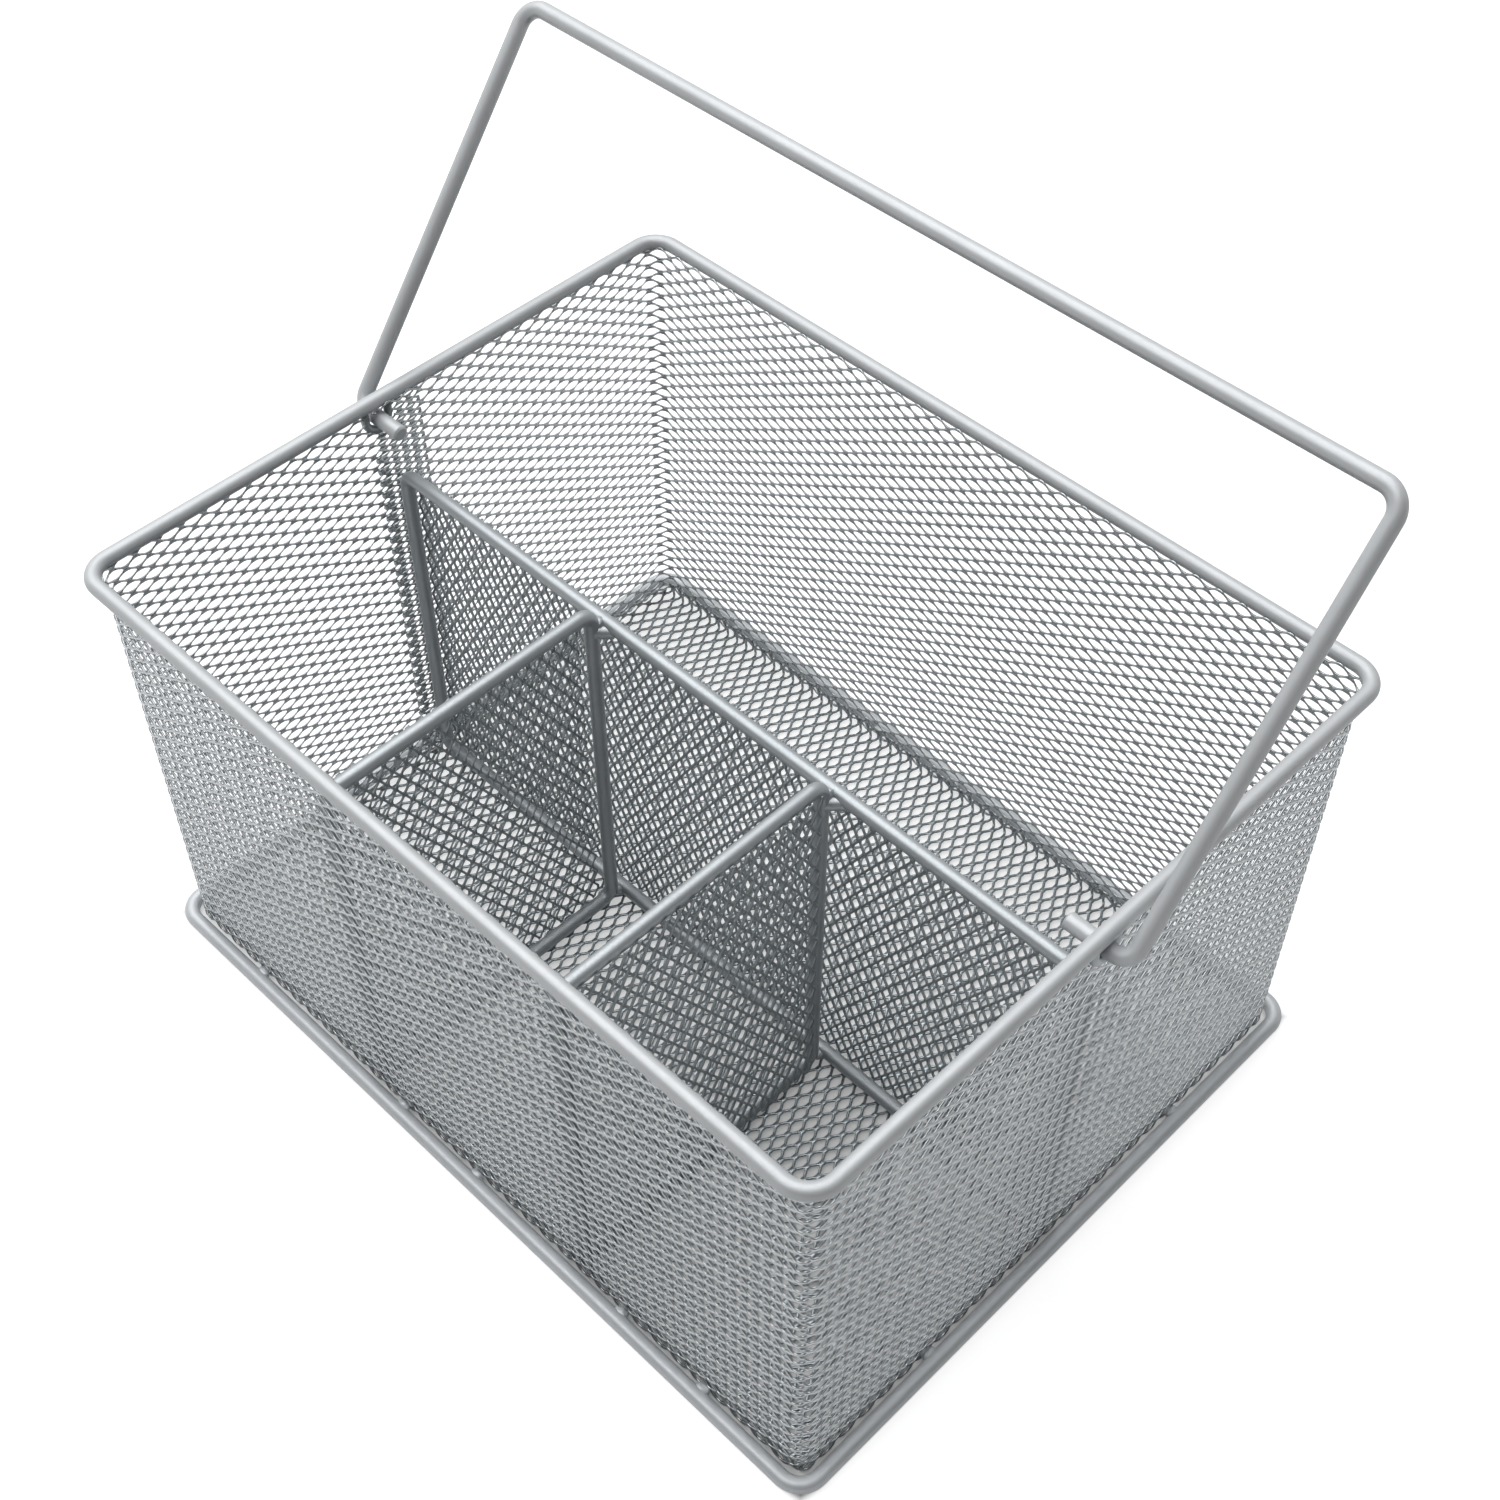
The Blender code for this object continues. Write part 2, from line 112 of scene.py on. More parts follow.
# Weld beads
bead_subdivisions = 3
bead_bump_scale = 2
bead_bump_share = 0.25
top_bead_size = Vector((0.0021, 0.0022, 0.0022))
foot_bead_size = Vector((0.0026, 0.0022, 0.0016))
ring_bead_along = 0.0022
ring_bead_across = 0.0014
ring_bead_high = 0.0012
ring_bead_level = 2 / 3
ring_beads_long = (-0.094, -0.028, 0.004, 0.063, 0.094)
ring_beads_short = (-0.052, 0.052)

# Studio
lamp_size = 2.2
lamp_height = 1.5
lamp_back = 0.2
lamp_left = 0.35
lamp_watts = 35
fill_strength = 0.08
front_share = 0.10
front_blend = 0.8
horizon_low = -0.05
horizon_high = 0.1
floor_reach = 3.0
floor_tone = 0.5
floor_roughness = 0.9
floor_specular = 0.1
glow_beside = 0.78
# Painted shade: the floor's glow under the caddy, low in front and higher at the back, stands in for the
# caddy's shadow there
shaded_glow_front = 0.1
shaded_glow_back = 0.66
shaded_glow_reach = 0.1
glow_edge = 0.004

up = Vector((0, 0, 1))
to_back = Matrix.Rotation(math.radians(camera_azimuth_degrees), 3, up) @ Vector((0, 1, 0))
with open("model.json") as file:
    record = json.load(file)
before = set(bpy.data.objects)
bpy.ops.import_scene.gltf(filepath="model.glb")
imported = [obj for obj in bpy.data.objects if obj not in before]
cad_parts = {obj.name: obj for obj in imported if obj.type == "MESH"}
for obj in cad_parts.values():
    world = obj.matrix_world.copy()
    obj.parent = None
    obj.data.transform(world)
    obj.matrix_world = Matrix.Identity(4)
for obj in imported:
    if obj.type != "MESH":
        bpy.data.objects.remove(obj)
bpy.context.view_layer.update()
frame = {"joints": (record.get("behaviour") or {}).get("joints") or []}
rim_low, rim_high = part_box("top_rim")
ring_low, ring_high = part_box("base_ring")
pivot = Vector(frame["joints"][0]["pos_m"])


# Shader nodes

def noise_value(tree, place, scale, detail):
    """A noise in the piece's own space."""
    texture = tree.nodes.new("ShaderNodeTexNoise")
    texture.inputs["Scale"].default_value = scale
    texture.inputs["Detail"].default_value = detail
    tree.links.new(place.outputs["Object"], texture.inputs["Vector"])
    return texture.outputs["Fac"]


def map_range(tree, value, from_low, from_high, to_low, to_high, blend="SMOOTHSTEP"):
    """A value carried from one range to another and held at its ends, by a smooth step unless told."""
    ramp = tree.nodes.new("ShaderNodeMapRange")
    ramp.interpolation_type = blend
    limits = {"From Min": from_low, "From Max": from_high, "To Min": to_low, "To Max": to_high}
    for name, number in limits.items():
        ramp.inputs[name].default_value = number
    tree.links.new(value, ramp.inputs["Value"])
    return ramp.outputs["Result"]


def calculate(tree, operation, *values):
    """The result of a Math node on one or two values."""
    node = tree.nodes.new("ShaderNodeMath")
    node.operation = operation
    for socket, value in zip(node.inputs, values):
        tree.links.new(value, socket)
    return node.outputs["Value"]


def depth_of(tree, position):
    """How far a position lies towards the back of the view, from the middle of the caddy."""
    depth = tree.nodes.new("ShaderNodeVectorMath")
    depth.operation = "DOT_PRODUCT"
    depth.inputs[1].default_value = to_back
    tree.links.new(position, depth.inputs[0])
    return depth.outputs["Value"]


def seen_rays(tree):
    """1 for camera, glossy and transmission rays, 0 for the rest."""
    path = tree.nodes.new("ShaderNodeLightPath")
    seen = path.outputs["Is Camera Ray"]
    for ray in ("Is Glossy Ray", "Is Transmission Ray"):
        seen = calculate(tree, "MAXIMUM", seen, path.outputs[ray])
    return seen


# Materials

def metal_paint(name, colour, roughness, metallic, grain):
    """Silver paint on steel: a slightly uneven tone, and a fine grain in its gloss and surface."""
    material = bpy.data.materials.new(name)
    material.use_nodes = True
    tree = material.node_tree
    shader = tree.nodes["Principled BSDF"]
    shader.inputs["Metallic"].default_value = metallic
    place = tree.nodes.new("ShaderNodeTexCoord")
    broad = noise_value(tree, place, coat_scale, coat_detail)
    fine = noise_value(tree, place, grain, grain_detail)

    tone = map_range(tree, broad, noise_low, noise_high, coat_darkest, coat_lightest, "LINEAR")
    tint = tree.nodes.new("ShaderNodeVectorMath")
    tint.operation = "SCALE"
    tint.inputs[0].default_value = colour
    tree.links.new(tone, tint.inputs["Scale"])
    tree.links.new(tint.outputs["Vector"], shader.inputs["Base Color"])

    glossiest, dullest = roughness - gloss_below, roughness + gloss_above
    gloss = map_range(tree, fine, noise_low, noise_high, glossiest, dullest, "LINEAR")
    tree.links.new(gloss, shader.inputs["Roughness"])

    bump = tree.nodes.new("ShaderNodeBump")
    bump.inputs["Strength"].default_value = bump_strength
    bump.inputs["Distance"].default_value = bump_depth
    tree.links.new(fine, bump.inputs["Height"])
    tree.links.new(bump.outputs["Normal"], shader.inputs["Normal"])
    return material


# Painted shade: the floor net, the dividers and the eyes get darker copies of the one silver paint, for the
# shade inside the caddy and under the rim
paints = {
    "rim_wire": metal_paint("rim_paint", (0.512, 0.53, 0.543), 0.46, 0.25, wire_grain),
    "base_wire": metal_paint("base_paint", (0.585, 0.61, 0.63), 0.46, 0.25, wire_grain),
    "wall_mesh": metal_paint("wall_mesh_paint", (0.445, 0.47, 0.485), 0.22, 0.85, mesh_grain),
    "floor_mesh": metal_paint("floor_mesh_paint", (0.27, 0.30, 0.315), 0.28, 0.70, mesh_grain),
    "divider_wire": metal_paint("divider_paint", (0.36, 0.385, 0.40), 0.46, 0.65, wire_grain),
    "divider_mesh": metal_paint("divider_mesh_paint", (0.28, 0.31, 0.325), 0.32, 0.60, mesh_grain),
    "handle_wire": metal_paint("handle_paint", (0.512, 0.53, 0.543), 0.46, 0.25, wire_grain),
    "eye_wire": metal_paint("eye_paint", (0.33, 0.36, 0.375), 0.40, 0.40, wire_grain),
}


def finish_piece(piece, slot, body, *nodes):
    """Paints a piece, gives it its body and hides the CAD nodes that it stands for."""
    piece.data.materials.append(paints[slot])
    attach(piece, body)
    if nodes:
        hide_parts(*nodes)


def add_object(name, data):
    thing = bpy.data.objects.new(name, data)
    bpy.context.scene.collection.objects.link(thing)
    return thing


# Wires

def rounded_path(corners, closed=False):
    """Points along a path of (point, radius) corners, each corner rounded by its radius."""
    count = len(corners)
    path = []
    for index, (here, radius) in enumerate(corners):
        if radius == 0 or (not closed and index in (0, count - 1)):
            path.append(here.copy())
            continue
        into = (here - corners[index - 1][0]).normalized()
        out = (corners[(index + 1) % count][0] - here).normalized()
        turn = into.angle(out)
        axis = into.cross(out).normalized()
        start = here - into * radius * math.tan(turn / 2)
        centre = start + axis.cross(into) * radius
        for step in range(arc_steps + 1):
            path.append(centre + Matrix.Rotation(turn * step / arc_steps, 3, axis) @ (start - centre))
    kept = [path[0]]
    for point in path[1:]:
        if (point - kept[-1]).length > join_limit:
            kept.append(point)
    return kept


def round_wire(name, path, diameter, closed=False):
    """A round wire along a path. Open ends are cut square with a small chamfer."""
    radius = diameter / 2
    radii = [radius] * len(path)
    if not closed:
        first, last = path[0], path[-1]
        ahead = (path[1] - first).normalized() * end_chamfer
        behind = (path[-2] - last).normalized() * end_chamfer
        path = [first, first + ahead] + path[1:-1] + [last + behind, last]
        cut = radius - end_chamfer
        radii = [cut] + [radius] * (len(path) - 2) + [cut]
    count = len(path)
    tangents = []
    for index in range(count):
        before = path[index - 1] if closed or index else path[index]
        after = path[(index + 1) % count] if closed or index < count - 1 else path[index]
        into = (path[index] - before).normalized() if before is not path[index] else Vector()
        out = (after - path[index]).normalized() if after is not path[index] else Vector()
        tangents.append((into + out).normalized())

    # The profile is carried along without twist, and a closed path spreads what is left over its length
    normal = tangents[0].orthogonal().normalized()
    normals = [normal]
    for before, after in zip(tangents, tangents[1:]):
        normal = before.rotation_difference(after) @ normal
        normals.append(normal)
    slip = 0.0
    if closed:
        back = tangents[-1].rotation_difference(tangents[0]) @ normal
        slip = math.atan2(back.cross(normals[0]).dot(tangents[0]), back.dot(normals[0]))

    verts = []
    for index, (point, tangent, normal) in enumerate(zip(path, tangents, normals)):
        normal = Matrix.Rotation(slip * index / count, 3, tangent) @ normal
        across = tangent.cross(normal)
        for side in range(wire_sides):
            angle = 2 * math.pi * side / wire_sides
            spoke = normal * math.cos(angle) + across * math.sin(angle)
            verts.append(point + spoke * radii[index])
    faces = []
    for ring in range(count if closed else count - 1):
        near, far = ring * wire_sides, (ring + 1) % count * wire_sides
        for side in range(wire_sides):
            after = (side + 1) % wire_sides
            faces.append((near + side, near + after, far + after, far + side))
    if not closed:
        faces.append(tuple(reversed(range(wire_sides))))
        faces.append(tuple(range((count - 1) * wire_sides, count * wire_sides)))
    mesh = bpy.data.meshes.new(name)
    mesh.from_pydata(verts, [], faces)
    mesh.shade_smooth()
    mesh.set_sharp_from_angle(angle=math.radians(wire_sharp_degrees))
    return add_object(name, mesh)


def weld_beads(name, spots, size, subdivisions=bead_subdivisions):
    """Small uneven lumps of weld or paint, of the given half lengths along X, Y and Z, as one piece."""
    bm = bmesh.new()
    for spot in spots:
        lump = bmesh.ops.create_icosphere(bm, subdivisions=subdivisions, radius=1)
        for vert in lump["verts"]:
            bump = 1 + bead_bump_share * noise.noise(vert.co * bead_bump_scale + spot / size.x)
            vert.co = spot + size * vert.co * bump
    mesh = bpy.data.meshes.new(name)
    bm.to_mesh(mesh)
    bm.free()
    mesh.shade_smooth()
    return add_object(name, mesh)


def make_level_loop(name, node, slot, corner):
    """A closed wire rectangle lying level along a CAD loop's centre line."""
    low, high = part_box(node)
    diameter = high.z - low.z
    reach = diameter / 2
    x, y, z = high.x - reach, high.y - reach, low.z + reach
    corners = [(Vector((right * x, back * y, z)), corner)
               for right, back in ((1, -1), (1, 1), (-1, 1), (-1, -1))]
    wire = round_wire(name, rounded_path(corners, True), diameter, True)
    finish_piece(wire, slot, "basket", node)


def make_ring_welds():
    """Beads that join the base ring to the foot of the walls."""
    wire = ring_high.z - ring_low.z
    x, y = ring_high.x - wire, ring_high.y - wire
    z = ring_low.z + wire * ring_bead_level
    long_size = Vector((ring_bead_along, ring_bead_across, ring_bead_high))
    long_spots = [Vector((along, side * y, z)) for along in ring_beads_long for side in (-1, 1)]
    long_welds = weld_beads("ring_welds_long", long_spots, long_size)
    finish_piece(long_welds, "base_wire", "basket", "base_ring")
    short_size = Vector((ring_bead_across, ring_bead_along, ring_bead_high))
    short_spots = [Vector((side * x, along, z)) for along in ring_beads_short for side in (-1, 1)]
    short_welds = weld_beads("ring_welds_short", short_spots, short_size)
    finish_piece(short_welds, "base_wire", "basket", "base_ring")


# Expanded metal

def strand_net(name, rows, run, place, strand_width, bond_length, tilt_degrees, bond_tilt_degrees,
               keep=None):
    """A sheet of expanded metal: rows of zigzag strands that share their bonds and lean between them.

    The strands run from run[0] to run[1]. place(a, b, n) maps the long way, the short way and the
    height above the sheet to points. keep(a, b) says where the sheet has metal.
    """
    half, pitch = cell_long / 2, cell_short / 2
    tilt, bond_tilt = math.radians(tilt_degrees), math.radians(bond_tilt_degrees)
    bond_end = bond_length / 2
    full_lean = bond_end + lean_start * (half - bond_length)

    # Stations along the strands: the ends of each bond, and where the lean is full on either side of it
    stations = {run[0]: None, run[1]: None}
    for k in range(math.floor(run[0] / half) - 1, math.ceil(run[1] / half) + 1):
        for offset, bond in ((-full_lean, None), (-bond_end, k), (bond_end, k), (full_lean, None)):
            a = k * half + offset
            if run[0] + join_limit < a < run[1] - join_limit:
                stations[a] = bond
    a = np.array(sorted(stations))
    bond_of = [stations[value] for value in sorted(stations)]

    # Each strand swings between two levels, its neighbours the other way round
    nearest = np.round(a / half)
    past_bond = np.maximum(np.abs(a - nearest * half) - bond_end, 0)
    share = past_bond / (half - bond_length)
    level_even = np.where(nearest % 2 == 0, share, 1 - share)
    j = np.arange(rows)[:, None]
    level = np.where(j % 2 == 0, level_even, 1 - level_even)
    angle = bond_tilt + (tilt - bond_tilt) * np.minimum(past_bond / (full_lean - bond_end), 1)
    flat, lean = strand_width * np.cos(angle), strand_width * np.sin(angle)
    b_mid = (j + 0.5) * pitch + (level - 0.5) * (pitch - strand_width * math.cos(bond_tilt))
    n_mid = (0.5 - level) * strand_width * math.sin(bond_tilt)
    a_all = np.broadcast_to(a, level.shape)
    lower = (a_all, b_mid - flat / 2, n_mid - lean / 2)
    upper = (a_all, b_mid + flat / 2, n_mid + lean / 2)

    # Neighbouring strands have the same points where they meet in a bond
    columns = len(a)
    low_id = np.arange(rows * columns).reshape(rows, columns)
    high_id = low_id + rows * columns
    for parity in (0, 1):
        on_bond = [m for m, k in enumerate(bond_of) if k is not None and (k + parity) % 2 == 0]
        for row in range(2 - parity, rows, 2):
            high_id[row - 1, on_bond] = low_id[row, on_bond]
    quads = np.stack((low_id[:, :-1], low_id[:, 1:], high_id[:, 1:], high_id[:, :-1]), axis=-1)
    middle_a = (a_all[:, 1:] + a_all[:, :-1]) / 2
    middle_b = (b_mid[:, 1:] + b_mid[:, :-1]) / 2
    mask = np.ones(middle_a.shape, bool) if keep is None else keep(middle_a, middle_b)
    quads = quads[mask].reshape(-1, 4)

    spots = [np.concatenate((low.ravel(), high.ravel())) for low, high in zip(lower, upper)]
    used, quads = np.unique(quads, return_inverse=True)
    points = place(*(spot[used] for spot in spots))
    mesh = bpy.data.meshes.new(name)
    mesh.from_pydata(points.tolist(), [], quads.reshape(-1, 4).tolist())
    mesh.shade_smooth()
    net = add_object(name, mesh)
    thicken = net.modifiers.new("sheet", "SOLIDIFY")
    thicken.thickness = sheet_thickness
    thicken.offset = 0
    return net


def make_walls():
    """One strip, from its outer lap on the left side, round the front, right and back to its inner lap.
    """
    front_low, front_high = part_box("wall_front")
    right_low, right_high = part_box("wall_right")
    outer_low, outer_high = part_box("wall_left_front")
    inner_low, inner_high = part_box("wall_left_rear")
    wall_x = (right_low.x + right_high.x) / 2
    wall_y = -(front_low.y + front_high.y) / 2
    half_sheet = (front_high.y - front_low.y) / 2
    flat_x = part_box("wall_bend_front_right")[0].x
    radius = wall_x - flat_x
    flat_y = wall_y - radius
    foot = front_low.z - cell_short / 2
    rise = front_high.z + weld_overlap - foot
    lap_out = -wall_x + half_sheet - outer_low.x
    lap_in = inner_high.x + wall_x - half_sheet
    bend = radius * math.pi / 2
    lengths = (outer_high.y + flat_y, bend, 2 * flat_x, bend, 2 * flat_y, bend, 2 * flat_x, bend,
               flat_y - inner_low.y)
    ends = np.cumsum(lengths)

    def place(a, b, n):
        """Lays the strip along its flat lengths and bends, laps its ends and sets its rim edge outwards."""
        x, y, turn = -wall_x, outer_high.y, -math.pi / 2
        px, py, heading = np.zeros_like(a), np.zeros_like(a), np.zeros_like(a)
        for index, length in enumerate(lengths):
            begin = ends[index] - length
            here = (a >= begin) if index else np.ones(a.shape, bool)
            along = np.where(here, a - begin, 0)
            if index % 2:
                angle = along / radius
                ahead, aside = radius * np.sin(angle), radius * (1 - np.cos(angle))
                px = np.where(here, x + ahead * math.cos(turn) - aside * math.sin(turn), px)
                py = np.where(here, y + ahead * math.sin(turn) + aside * math.cos(turn), py)
                heading = np.where(here, turn + angle, heading)
                x += radius * (math.cos(turn) - math.sin(turn))
                y += radius * (math.sin(turn) + math.cos(turn))
                turn += math.pi / 2
            else:
                px = np.where(here, x + along * math.cos(turn), px)
                py = np.where(here, y + along * math.sin(turn), py)
                heading = np.where(here, turn, heading)
                x += length * math.cos(turn)
                y += length * math.sin(turn)
        outward = n + lap_out * np.clip(1 - a / lengths[0], 0, 1)
        outward = outward - lap_in * np.clip((a - ends[-2]) / lengths[-1], 0, 1)
        outward = outward + rim_cling * np.clip((b - rise) / cell_short + 1, 0, 1)
        px = px + outward * np.sin(heading)
        py = py - outward * np.cos(heading)
        return np.stack((px, py, foot + b), axis=-1)

    pivots = (outer_high.y - pivot.y, ends[3] + flat_y + pivot.y, ends[8] - (pivot.y - inner_low.y))

    def clear_of_handle(a, b):
        """Leaves the mesh open where the handle's ends come through it."""
        apart = [np.hypot(a - centre, b + foot - pivot.z) for centre in pivots]
        return np.minimum.reduce(apart) > pivot_hole

    rows = round(rise / (cell_short / 2))
    cuts = (0, ends[0] + bend / 2, ends[2] + bend / 2, ends[4] + bend / 2, ends[6] + bend / 2, ends[8])
    replaced = (
        ("wall_strip_left_front", "wall_left_front", "wall_bend_front_left"),
        ("wall_strip_front", "wall_front", "wall_bend_front_right"),
        ("wall_strip_right", "wall_right", "wall_bend_back_right"),
        ("wall_strip_back", "wall_back", "wall_bend_back_left"),
        ("wall_strip_left_rear", "wall_left_rear"),
    )
    for (name, *nodes), start, end in zip(replaced, cuts, cuts[1:]):
        net = strand_net(name, rows, (start, end), place, keep=clear_of_handle, **wall_weave)
        finish_piece(net, "wall_mesh", "basket", *nodes)

    snag_x = inner_high.x - half_sheet
    snag_count = int((pivot.z - 2 * pivot_hole - foot) / cell_short)
    snag_spots = [Vector((snag_x, inner_low.y, foot + (row + 0.5) * cell_short))
                  for row in range(snag_count)]
    snags = weld_beads("seam_snags", snag_spots, snag_size, snag_subdivisions)
    finish_piece(snags, "wall_mesh", "basket")


def make_floor():
    """One sheet whose four edges fold up inside the wall foot."""
    low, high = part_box("floor_mesh")
    front_low, front_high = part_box("floor_lip_front")
    left_low, left_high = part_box("floor_lip_left")
    right_low, right_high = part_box("floor_lip_right")
    height = (low.z + high.z) / 2
    lip = front_high.z - height
    arc = fold_radius * math.pi / 2
    overhang = arc + lip - fold_radius
    fold_y = -(front_low.y + front_high.y) / 2 - fold_radius
    fold_low = (left_low.x + left_high.x) / 2 + fold_radius
    fold_high = (right_low.x + right_high.x) / 2 - fold_radius
    middle = (fold_low + fold_high) / 2
    fold_x = (fold_high - fold_low) / 2

    def folded(distance):
        """How far past a fold line, how high and how steep a point of the sheet lies."""
        angle = np.clip(distance / fold_radius, 0, math.pi / 2)
        beyond = np.minimum(distance, 0) + fold_radius * np.sin(angle)
        above = fold_radius * (1 - np.cos(angle)) + np.maximum(distance - arc, 0)
        return beyond, above, angle

    def place(a, b, n):
        """Lays the flat sheet down and folds its edges up."""
        x = b + fold_low - overhang
        side_y = np.where(a < 0, -1, 1)
        beyond_y, above_y, angle_y = folded(np.abs(a) - fold_y)
        side_x = np.where(x < middle, -1, 1)
        beyond_x, above_x, angle_x = folded(np.abs(x - middle) - fold_x)
        px = middle + side_x * (fold_x + beyond_x - n * np.sin(angle_x))
        py = side_y * (fold_y + beyond_y - n * np.sin(angle_y))
        pz = height + above_x + above_y + n * np.cos(angle_x) * np.cos(angle_y)
        return np.stack((px, py, pz), axis=-1)

    def inside_corners(a, b):
        """Leaves out the square corners, where two edges would fold up in one place."""
        x = b + fold_low - overhang
        past_x = (x < fold_low) | (x > fold_high)
        past_y = np.abs(a) > fold_y
        return ~(past_x & past_y)

    width = fold_high - fold_low + 2 * overhang
    rows = round(width / (cell_short / 2))
    reach = fold_y + overhang
    front = strand_net("floor_sheet_front", rows, (-reach, 0), place, keep=inside_corners,
                       **floor_weave)
    finish_piece(front, "floor_mesh", "basket", "floor_mesh", "floor_lip_front", "floor_lip_left")
    back = strand_net("floor_sheet_back", rows, (0, reach), place, keep=inside_corners,
                      **floor_weave)
    finish_piece(back, "floor_mesh", "basket", "floor_lip_back", "floor_lip_right")


# Dividers

def make_long_divider():
    """An upright frame from the left wall to the right one, with its net."""
    low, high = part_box("long_divider_frame")
    diameter = high.y - low.y
    reach = diameter / 2
    y = (low.y + high.y) / 2
    left, right, foot, top = low.x + reach, high.x - reach, low.z + reach, high.z - reach
    corners = [(Vector((x, y, z)), divider_corner)
               for x, z in ((right, foot), (right, top), (left, top), (left, foot))]
    wire = round_wire("long_divider_wire", rounded_path(corners, True), diameter, True)
    finish_piece(wire, "divider_wire", "basket", "long_divider_frame")

    net_low, net_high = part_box("long_divider_mesh")
    net_y = (net_low.y + net_high.y) / 2

    def place(a, b, n):
        return np.stack((net_low.x + b, net_y + n, net_low.z + a), axis=-1)

    rows = round((net_high.x - net_low.x) / (cell_short / 2))
    net = strand_net("long_divider_net", rows, (0, net_high.z - net_low.z), place, **divider_weave)
    finish_piece(net, "divider_mesh", "basket", "long_divider_mesh")


def make_short_divider(name, net_side):
    """A flat frame from the front wall to the long divider, with a tab beside that one's top wire."""
    low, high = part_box(name + "_frame")
    long_low, long_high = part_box("long_divider_frame")
    diameter = long_high.y - long_low.y
    reach = diameter / 2
    x = low.x + reach
    front, back, foot, top = low.y + reach, long_low.y - seat_gap - reach, low.z + reach, high.z - reach
    corners = [(Vector((x, y, z)), divider_corner)
               for y, z in ((back, foot), (back, top), (front, top), (front, foot))]
    wire = round_wire(name + "_wire", rounded_path(corners, True), diameter, True)

    long_top = long_high.z - reach
    tab_start = Vector((x, back, long_top - tab_drop))
    slant = Vector((1, 1, 0)).normalized()
    tab = round_wire(name + "_tab", [tab_start, tab_start + slant * tab_length], tab_wire)
    top_bead = weld_beads(name + "_top_weld", [Vector((x, long_low.y, long_top))], top_bead_size)
    foot_bead = weld_beads(name + "_foot_weld", [Vector((x, long_low.y, foot))], foot_bead_size)
    for piece in (wire, tab, top_bead, foot_bead):
        finish_piece(piece, "divider_wire", "basket", name + "_frame")

    net_low, net_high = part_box(name + "_mesh")
    net_x = (net_low.x + net_high.x) / 2

    def place(a, b, n):
        return np.stack((net_x + net_side * n, net_low.y + b, net_low.z + a), axis=-1)

    rows = round((net_high.y - net_low.y) / (cell_short / 2))
    net = strand_net(name + "_net", rows, (0, net_high.z - net_low.z), place, **divider_weave)
    finish_piece(net, "divider_mesh", "basket", name + "_mesh")


# Handle and its eyes

def make_eye(node):
    """A U of wire that hangs from the rim."""
    low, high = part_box(node)
    diameter = high.x - low.x
    reach = diameter / 2
    x, y = (low.x + high.x) / 2, (low.y + high.y) / 2
    half_gap = (high.y - low.y) / 2 - reach
    corners = [
        (Vector((x, y - half_gap, high.z)), 0),
        (Vector((x, y - half_gap, low.z + reach)), half_gap),
        (Vector((x, y + half_gap, low.z + reach)), half_gap),
        (Vector((x, y + half_gap, high.z)), 0),
    ]
    wire = round_wire(node + "_wire", rounded_path(corners), diameter)
    finish_piece(wire, "eye_wire", "basket", node)


def make_handle():
    """A bail with two legs and a cross wire, whose ends turn inwards through the eyes."""
    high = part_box("carry_handle")[1]
    diameter = rim_high.z - rim_low.z + handle_wire_extra
    reach = diameter / 2
    end = Vector((handle_end_reach, 0, 0))
    side = Vector((high.x - reach, 0, 0))
    leg = Vector((0, high.y - reach - pivot.y, high.z - reach - pivot.z))
    corners = [
        (pivot - end, 0),
        (pivot - side, pivot_bend),
        (pivot - side + leg, handle_bend),
        (pivot + side + leg, handle_bend),
        (pivot + side, pivot_bend),
        (pivot + end, 0),
    ]
    wire = round_wire("handle_wire", rounded_path(corners), diameter)
    finish_piece(wire, "handle_wire", "handle", "carry_handle")


# Studio

def make_camera():
    azimuth = math.radians(camera_azimuth_degrees)
    elevation = math.radians(camera_elevation_degrees)
    roll = math.radians(camera_roll_degrees)
    ahead = Vector((-math.sin(azimuth) * math.cos(elevation), math.cos(azimuth) * math.cos(elevation),
                    -math.sin(elevation)))
    level = Vector((math.cos(azimuth), math.sin(azimuth), 0))
    above = level.cross(ahead)
    right = level * math.cos(roll) + above * math.sin(roll)
    top = above * math.cos(roll) - level * math.sin(roll)
    data = bpy.data.cameras.new("camera")
    data.lens = camera_lens_mm
    data.sensor_width = camera_sensor_mm
    data.clip_start = camera_near
    data.clip_end = camera_far
    camera = add_object("camera", data)
    spot = camera_target - ahead * camera_distance
    turn = Matrix((right, top, -ahead)).transposed()
    camera.matrix_world = Matrix.Translation(spot) @ turn.to_4x4()
    bpy.context.scene.camera = camera


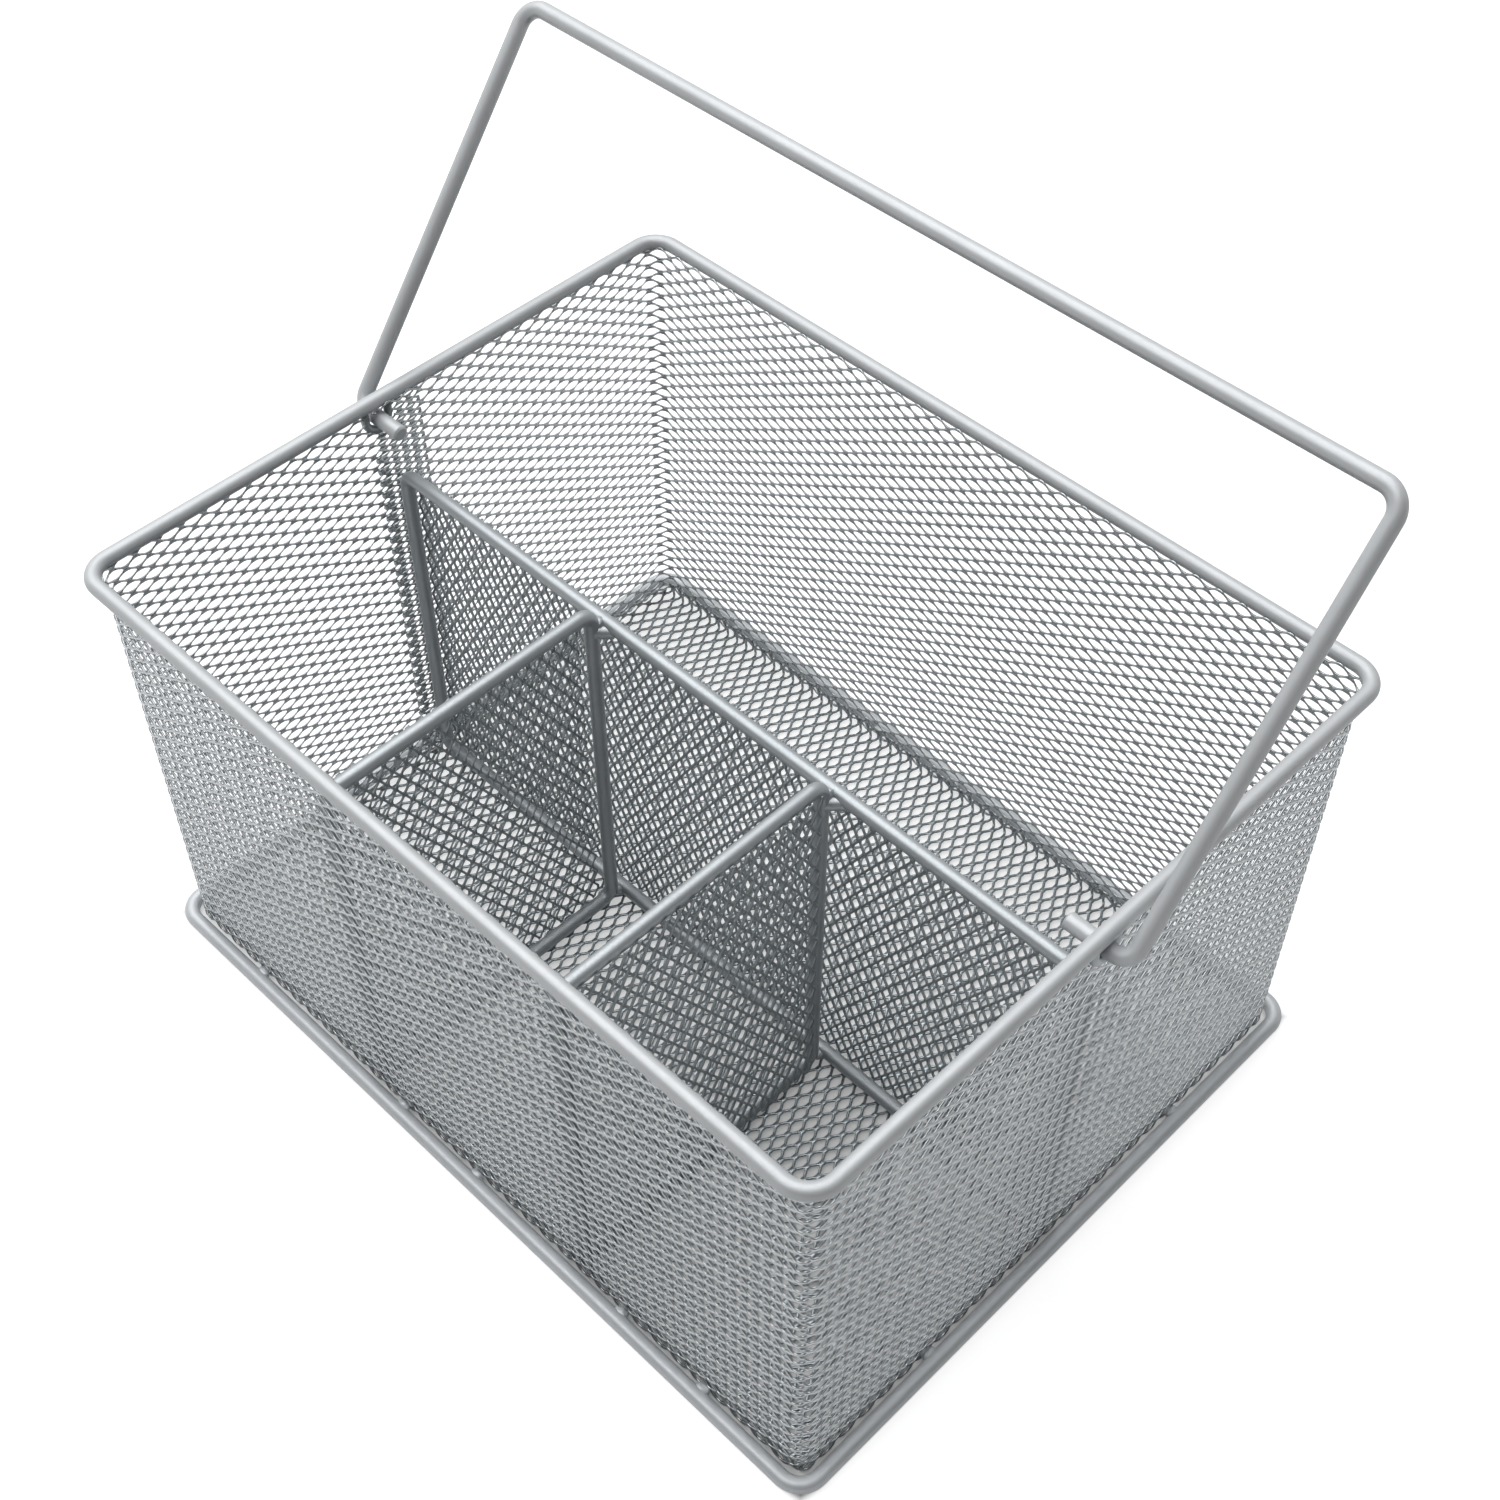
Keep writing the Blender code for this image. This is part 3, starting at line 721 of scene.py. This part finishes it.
def make_world():
    """Studio surroundings that the camera sees white. The metal mirrors them darker in front, from the
    horizon up, and they light it only faintly.
    """
    world = bpy.data.worlds.new("studio")
    world.use_nodes = True
    tree = world.node_tree
    place = tree.nodes.new("ShaderNodeTexCoord")
    split = tree.nodes.new("ShaderNodeSeparateXYZ")
    tree.links.new(place.outputs["Generated"], split.inputs["Vector"])
    depth = depth_of(tree, place.outputs["Generated"])
    front = map_range(tree, depth, -front_blend, front_blend, 1, 0)
    height = map_range(tree, split.outputs["Z"], horizon_low, horizon_high, 0, 1)
    both = calculate(tree, "MULTIPLY", front, height)
    level = map_range(tree, both, 0, 1, 1, front_share)

    light = tree.nodes["Background"]
    light.inputs["Strength"].default_value = fill_strength
    tree.links.new(level, light.inputs["Color"])
    seen = tree.nodes.new("ShaderNodeBackground")
    seen.inputs["Strength"].default_value = 1
    path = tree.nodes.new("ShaderNodeLightPath")
    shown = calculate(tree, "MAXIMUM", level, path.outputs["Is Camera Ray"])
    tree.links.new(shown, seen.inputs["Color"])
    mix = tree.nodes.new("ShaderNodeMixShader")
    tree.links.new(seen_rays(tree), mix.inputs["Fac"])
    tree.links.new(light.outputs["Background"], mix.inputs[1])
    tree.links.new(seen.outputs["Background"], mix.inputs[2])
    tree.links.new(mix.outputs["Shader"], tree.nodes["World Output"].inputs["Surface"])
    bpy.context.scene.world = world


def make_floor_stage():
    """A matt floor that shows white beside the caddy; under it the glow is lowered, most of all in front,
    as painted shade.
    """
    mesh = bpy.data.meshes.new("studio_floor")
    r = floor_reach
    mesh.from_pydata([(-r, -r, 0), (r, -r, 0), (r, r, 0), (-r, r, 0)], [], [(0, 1, 2, 3)])
    floor = add_object("studio_floor", mesh)
    material = bpy.data.materials.new("studio_floor")
    material.use_nodes = True
    tree = material.node_tree
    shader = tree.nodes["Principled BSDF"]
    shader.inputs["Base Color"].default_value = (floor_tone, floor_tone, floor_tone, 1)
    shader.inputs["Roughness"].default_value = floor_roughness
    shader.inputs["Specular IOR Level"].default_value = floor_specular
    place = tree.nodes.new("ShaderNodeTexCoord")
    split = tree.nodes.new("ShaderNodeSeparateXYZ")
    tree.links.new(place.outputs["Object"], split.inputs["Vector"])
    depth = depth_of(tree, place.outputs["Object"])
    # Painted shade: under the caddy the glow runs from low in front to higher at the back; only beside the
    # ring does it reach full white
    glow_with_painted_shade = map_range(tree, depth, -shaded_glow_reach, shaded_glow_reach, shaded_glow_front, shaded_glow_back)
    for axis, limit in (("X", ring_high.x), ("Y", ring_high.y)):
        distance = calculate(tree, "ABSOLUTE", split.outputs[axis])
        beside = map_range(tree, distance, limit - glow_edge, limit, 0, glow_beside)
        glow_with_painted_shade = calculate(tree, "MAXIMUM", glow_with_painted_shade, beside)
    shown = calculate(tree, "MULTIPLY", seen_rays(tree), glow_with_painted_shade)
    shader.inputs["Emission Color"].default_value = (1, 1, 1, 1)
    tree.links.new(shown, shader.inputs["Emission Strength"])
    mesh.materials.append(material)


def make_lamp():
    """One large round lamp overhead, a little to the back and left of the view."""
    data = bpy.data.lights.new("overhead", "AREA")
    data.shape = "DISK"
    data.size = lamp_size
    data.energy = lamp_watts
    lamp = add_object("overhead", data)
    spot = to_back * lamp_back + up.cross(to_back) * lamp_left + up * lamp_height
    lamp.location = spot
    lamp.rotation_mode = "QUATERNION"
    lamp.rotation_quaternion = (-spot).to_track_quat("-Z", "Y")


make_level_loop("rim_wire", "top_rim", "rim_wire", rim_corner)
make_level_loop("ring_wire", "base_ring", "base_wire", ring_corner)
make_ring_welds()
make_walls()
make_floor()
make_long_divider()
make_short_divider("short_divider_left", -1)
make_short_divider("short_divider_right", 1)
make_eye("left_pivot_eye")
make_eye("right_pivot_eye")
make_handle()
make_camera()
make_world()
make_floor_stage()
make_lamp()
bpy.context.scene.view_settings.view_transform = "Standard"
